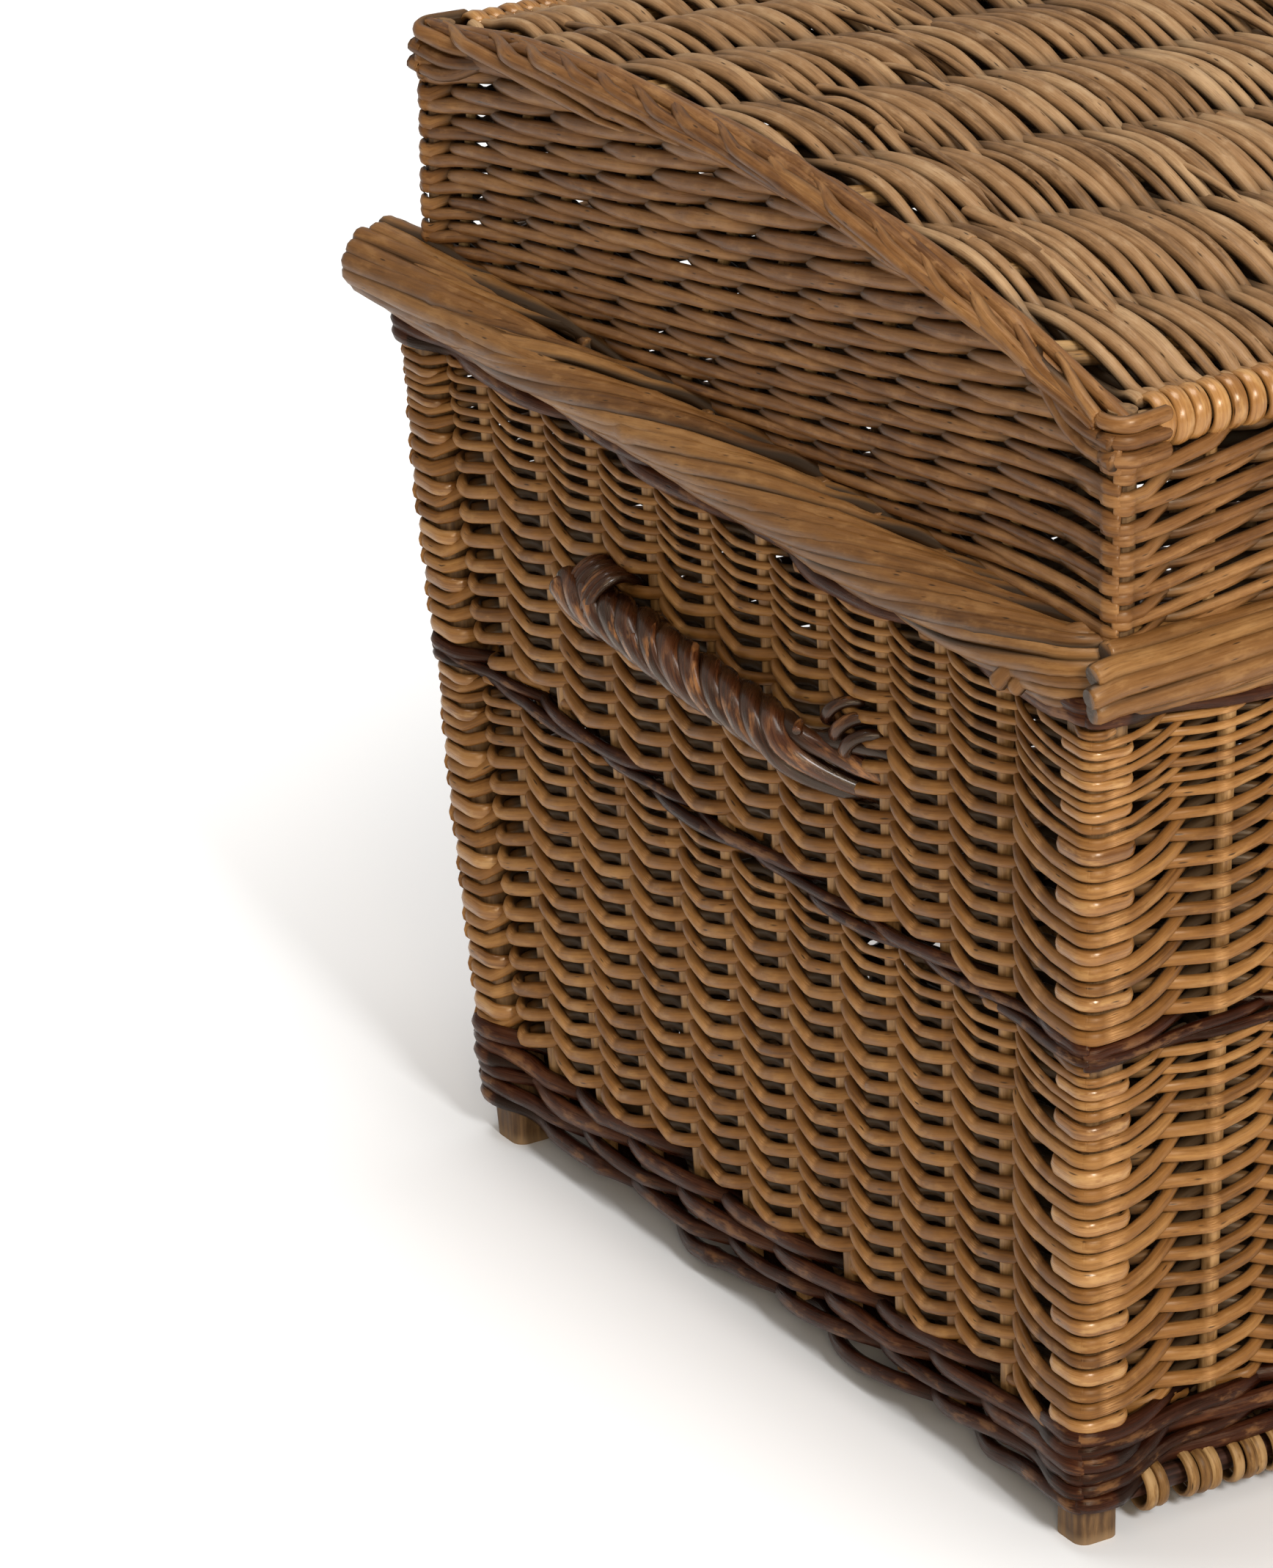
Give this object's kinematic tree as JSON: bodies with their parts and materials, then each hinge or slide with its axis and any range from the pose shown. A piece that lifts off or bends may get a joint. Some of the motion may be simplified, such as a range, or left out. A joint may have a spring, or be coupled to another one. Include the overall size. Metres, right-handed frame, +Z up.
{
  "type": "wicker storage trunk",
  "caption": "Rectangular woven willow trunk on short corner feet, with a rolled border, rope handles at both ends and a hinged box lid with an arched top.",
  "frame": {"origin": "on the floor under the middle of the trunk", "axes": "+Z up, +X along the length towards the right end, -Y out of the front"},
  "size_m": [0.84, 0.544, 0.5448],
  "materials": {
    "willow_body": "satin, warm brown split and round willow, worn",
    "willow_lid_wall": "satin, brown willow",
    "willow_lid_top": "matte, weathered tan willow",
    "willow_border": "satin, thick brown willow",
    "willow_glossy": "glossy, golden willow where it wraps the corners",
    "dark_willow": "glossy, black-brown stained willow with worn tan streaks",
    "stake_willow": "matte, peeled willow stakes",
    "post_wood": "matte, bare weathered wood",
    "base_willow": "satin, light willow, scuffed"
  },
  "bodies": {
    "trunk": {"post_front_left": "post_wood", "post_front_right": "post_wood", "post_back_right": "post_wood", "post_back_left": "post_wood", "front_stakes": "stake_willow", "right_stakes": "stake_willow", "back_stakes": "stake_willow", "left_stakes": "stake_willow", "front_lower_weave": "willow_body", "right_lower_weave": "willow_body", "back_lower_weave": "willow_body", "left_lower_weave": "willow_body", "front_upper_weave": "willow_body", "right_upper_weave": "willow_body", "back_upper_weave": "willow_body", "left_upper_weave": "willow_body", "lower_corner_wraps": "willow_glossy", "upper_corner_wraps": "willow_glossy", "bottom_wale": "dark_willow", "middle_wale": "dark_willow", "top_wale": "dark_willow", "border_front": "willow_border", "border_right": "willow_border", "border_back": "willow_border", "border_left": "willow_border", "handle_left": "dark_willow", "handle_right": "dark_willow", "base_sticks": "stake_willow", "base_weave": "base_willow", "base_front_rod": "dark_willow", "base_back_rod": "dark_willow", "base_front_lap": "base_willow", "base_back_lap": "base_willow", "hinge_loops": "dark_willow"},
    "lid": {"lid_posts": "stake_willow", "lid_front_stakes": "stake_willow", "lid_right_stakes": "stake_willow", "lid_back_stakes": "stake_willow", "lid_left_stakes": "stake_willow", "lid_front_weave": "willow_lid_wall", "lid_right_weave": "willow_lid_wall", "lid_back_weave": "willow_lid_wall", "lid_left_weave": "willow_lid_wall", "lid_ribs": "stake_willow", "lid_top_weave": "willow_lid_top", "lid_front_bar": "post_wood", "lid_back_bar": "post_wood", "lid_front_wrap": "willow_glossy", "lid_back_wrap": "willow_glossy", "lid_left_edge": "willow_lid_wall", "lid_right_edge": "willow_lid_wall", "lid_hinge_rod": "stake_willow"}
  },
  "joints": [
    {"name": "lid_hinge", "type": "hinge", "parent": "trunk", "child": "lid", "pos_m": [0, 0.252, 0.423], "axis": [-1, 0, 0], "range_deg": [0, 100]}
  ]
}
